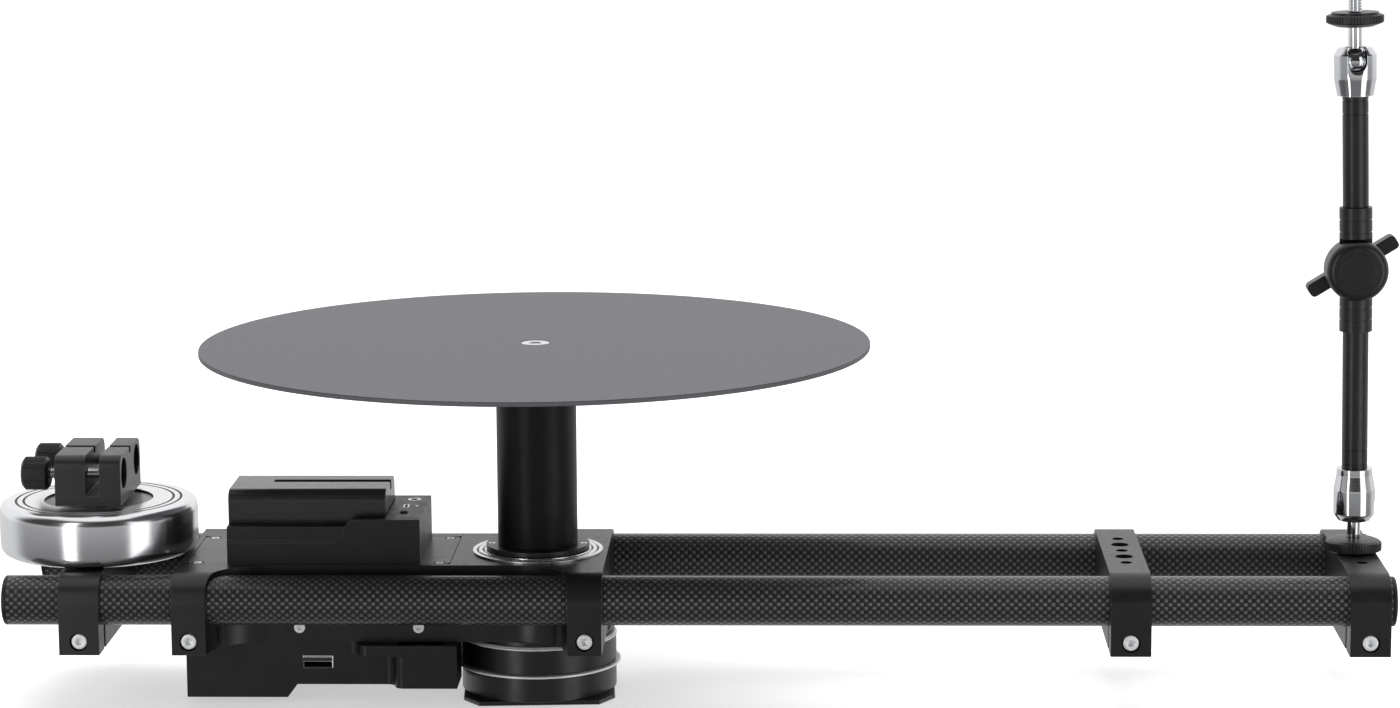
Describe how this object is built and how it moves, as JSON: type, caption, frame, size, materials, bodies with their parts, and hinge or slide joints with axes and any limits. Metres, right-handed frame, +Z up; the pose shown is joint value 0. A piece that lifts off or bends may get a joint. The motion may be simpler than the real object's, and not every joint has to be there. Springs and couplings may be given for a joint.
{
  "type": "motorised orbit slider",
  "caption": "Motorised camera slider set up as an orbit rig: carbon rails turn round a fixed post and round table, with a flywheel on one end and a jointed camera arm on the other.",
  "frame": {"origin": "centre of the foot's underside, on the pan axis", "axes": "+X along the rails towards the jointed arm, +Z up along the pan axis, -Z out of the tripod socket"},
  "size_m": [0.629, 0.3, 0.313],
  "materials": {
    "black_anodised": "bead-blasted and anodised black, satin",
    "satin_deck": "brushed and anodised dark grey",
    "table_coat": "fine-grain matte powder coat",
    "bright_steel": "bright machined",
    "pulley_aluminium": "machined",
    "polished_steel": "turned and polished",
    "chrome_plate": "polished",
    "carbon_weave": "plain-weave carbon in clear resin",
    "moulded_plastic": "fine texture",
    "battery_shell": "fine texture",
    "button_rubber": "matte",
    "board_green": "solder mask",
    "contact_gold": "plated",
    "belt_rubber": "matte"
  },
  "bodies": {
    "base": {"base_plate": "black_anodised", "lower_drum": "black_anodised", "lower_ring": "bright_steel", "spindle": "bright_steel", "sun_pulley": "pulley_aluminium", "post_flange": "black_anodised", "flange_screws": "bright_steel", "table_post": "black_anodised", "table_plate": "table_coat", "table_screw": "bright_steel"},
    "carriage": {"upper_drum": "black_anodised", "upper_ring": "bright_steel", "spindle_bearings": "bright_steel", "carriage_frame": "black_anodised", "carriage_screws": "bright_steel", "side_screws": "bright_steel", "cover_plate": "satin_deck", "cover_screws": "bright_steel", "dial_ring": "bright_steel", "control_box": "moulded_plastic", "circuit_board": "board_green", "usb_port": "bright_steel", "battery_holder": "moulded_plastic", "holder_ports": "bright_steel", "battery_contacts": "contact_gold", "drive_motor": "bright_steel", "timing_belt": "belt_rubber"},
    "motor_shaft": {"motor_pulley": "pulley_aluminium"},
    "button": {"power_button": "button_rubber"},
    "battery_pack": {"battery": "battery_shell"},
    "rails": {"rail_front": "carbon_weave", "rail_rear": "carbon_weave", "rail_plugs": "moulded_plastic"},
    "wheel_mount": {"wheel_bracket": "black_anodised", "wheel_bracket_screws": "bright_steel", "wheel_axle": "bright_steel", "clamp_block": "black_anodised"},
    "flywheel_assembly": {"flywheel": "polished_steel", "flywheel_bearings": "bright_steel"},
    "knob_front": {"clamp_knob_front": "black_anodised", "clamp_screw_front": "bright_steel"},
    "knob_rear": {"clamp_knob_rear": "black_anodised", "clamp_screw_rear": "bright_steel"},
    "accessory_mount": {"accessory_bracket": "black_anodised", "accessory_bracket_screws": "bright_steel"},
    "end_mount": {"end_bracket": "black_anodised", "end_bracket_screws": "bright_steel"},
    "arm_stud": {"lower_ball_stud": "chrome_plate"},
    "lower_lock": {"lower_lock_wheel": "black_anodised"},
    "lower_arm": {"lower_cup": "chrome_plate", "lower_tube": "black_anodised", "lower_elbow": "black_anodised", "elbow_bolt": "bright_steel"},
    "wing_nut": {"elbow_wing": "black_anodised"},
    "upper_arm": {"upper_elbow": "black_anodised", "upper_tube": "black_anodised", "upper_cup": "chrome_plate"},
    "camera_stud": {"upper_ball_stud": "chrome_plate"},
    "upper_lock": {"upper_lock_wheel": "black_anodised"}
  },
  "joints": [
    {"name": "pan", "type": "hinge", "parent": "base", "child": "carriage", "pos_m": [0, 0, 0.051], "axis": [0, 0, 1], "continuous": true},
    {"name": "motor_turn", "type": "hinge", "parent": "carriage", "child": "motor_shaft", "pos_m": [-0.096, 0, 0.04], "axis": [0, 0, 1], "continuous": true},
    {"name": "battery_slide", "type": "slide", "parent": "carriage", "child": "battery_pack", "axis": [-1, 0, 0], "range_m": [0, 0.01]},
    {"name": "button_press", "type": "slide", "parent": "carriage", "child": "button", "axis": [0, 0, -1], "range_m": [0, 0.0005], "stiffness_N_per_m": 600},
    {"name": "rails_slide", "type": "slide", "parent": "carriage", "child": "rails", "axis": [1, 0, 0], "range_m": [-0.12, 0]},
    {"name": "wheel_mount_slide", "type": "slide", "parent": "rails", "child": "wheel_mount", "axis": [1, 0, 0], "range_m": [-0.02, 0.003]},
    {"name": "flywheel_spin", "type": "hinge", "parent": "wheel_mount", "child": "flywheel_assembly", "pos_m": [-0.199, 0, 0.076], "axis": [0, 0, 1], "continuous": true},
    {"name": "front_knob_turn", "type": "hinge", "parent": "wheel_mount", "child": "knob_front", "pos_m": [-0.224, -0.016, 0.1027], "axis": [1, 0, 0], "continuous": true},
    {"name": "rear_knob_turn", "type": "hinge", "parent": "wheel_mount", "child": "knob_rear", "pos_m": [-0.224, 0.016, 0.1027], "axis": [1, 0, 0], "continuous": true},
    {"name": "accessory_slide", "type": "slide", "parent": "rails", "child": "accessory_mount", "axis": [1, 0, 0], "range_m": [-0.09, 0.04]},
    {"name": "end_slide", "type": "slide", "parent": "rails", "child": "end_mount", "axis": [1, 0, 0], "range_m": [-0.04, 0]},
    {"name": "arm_swivel", "type": "hinge", "parent": "end_mount", "child": "arm_stud", "pos_m": [0.3669, 0, 0.0846], "axis": [0, 0, 1], "continuous": true},
    {"name": "lower_wheel_turn", "type": "hinge", "parent": "arm_stud", "child": "lower_lock", "pos_m": [0.3669, 0, 0.066], "axis": [0, 0, 1], "continuous": true},
    {"name": "arm_tilt", "type": "hinge", "parent": "arm_stud", "child": "lower_arm", "pos_m": [0.3669, 0, 0.0846], "axis": [0, 1, 0], "range_deg": [-10, 90]},
    {"name": "elbow", "type": "hinge", "parent": "lower_arm", "child": "upper_arm", "pos_m": [0.36541, 0, 0.19159], "axis": [0, 1, 0], "range_deg": [-60, 110]},
    {"name": "wing_turn", "type": "hinge", "parent": "lower_arm", "child": "wing_nut", "pos_m": [0.36541, 0.012, 0.19159], "axis": [0, 1, 0], "continuous": true},
    {"name": "camera_tilt", "type": "hinge", "parent": "upper_arm", "child": "camera_stud", "pos_m": [0.36298, 0, 0.28416], "axis": [0.9997, 0, 0.0262], "range_deg": [-10, 90]},
    {"name": "upper_wheel_turn", "type": "hinge", "parent": "camera_stud", "child": "upper_lock", "pos_m": [0.36251, 0, 0.30215], "axis": [-0.0262, 0, 0.9997], "continuous": true}
  ],
  "couplings": [
    {"joint": "motor_turn", "follows": "pan", "ratio": -4}
  ]
}
